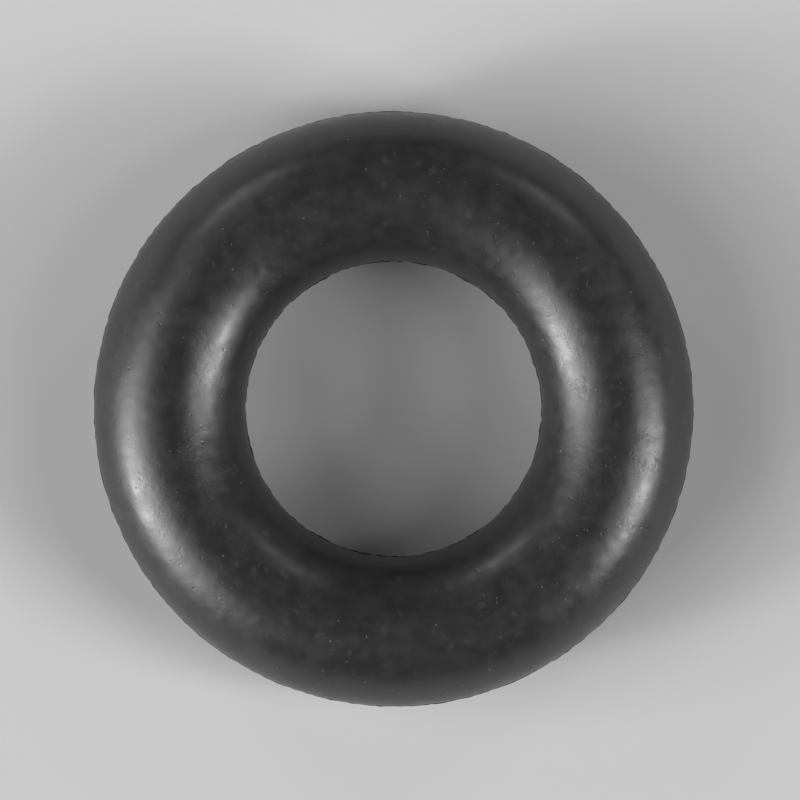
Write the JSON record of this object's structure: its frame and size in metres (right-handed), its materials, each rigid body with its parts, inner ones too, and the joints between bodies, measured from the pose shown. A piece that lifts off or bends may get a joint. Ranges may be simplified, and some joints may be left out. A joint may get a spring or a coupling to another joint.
{
  "type": "o-ring",
  "caption": "Thick black rubber seal ring of round section, solid and seamless, with a fine moulding line round its inside and outside.",
  "frame": {"origin": "centre of the ring, in the plane where the mould parted", "axes": "+Z along the ring's axis; the ring lies flat in the XY plane and is the same all the way round"},
  "size_m": [0.0212, 0.0212, 0.0054],
  "materials": {
    "rubber": "satin moulded black rubber"
  },
  "bodies": {
    "root": {"o_ring": "rubber"}
  },
  "joints": []
}
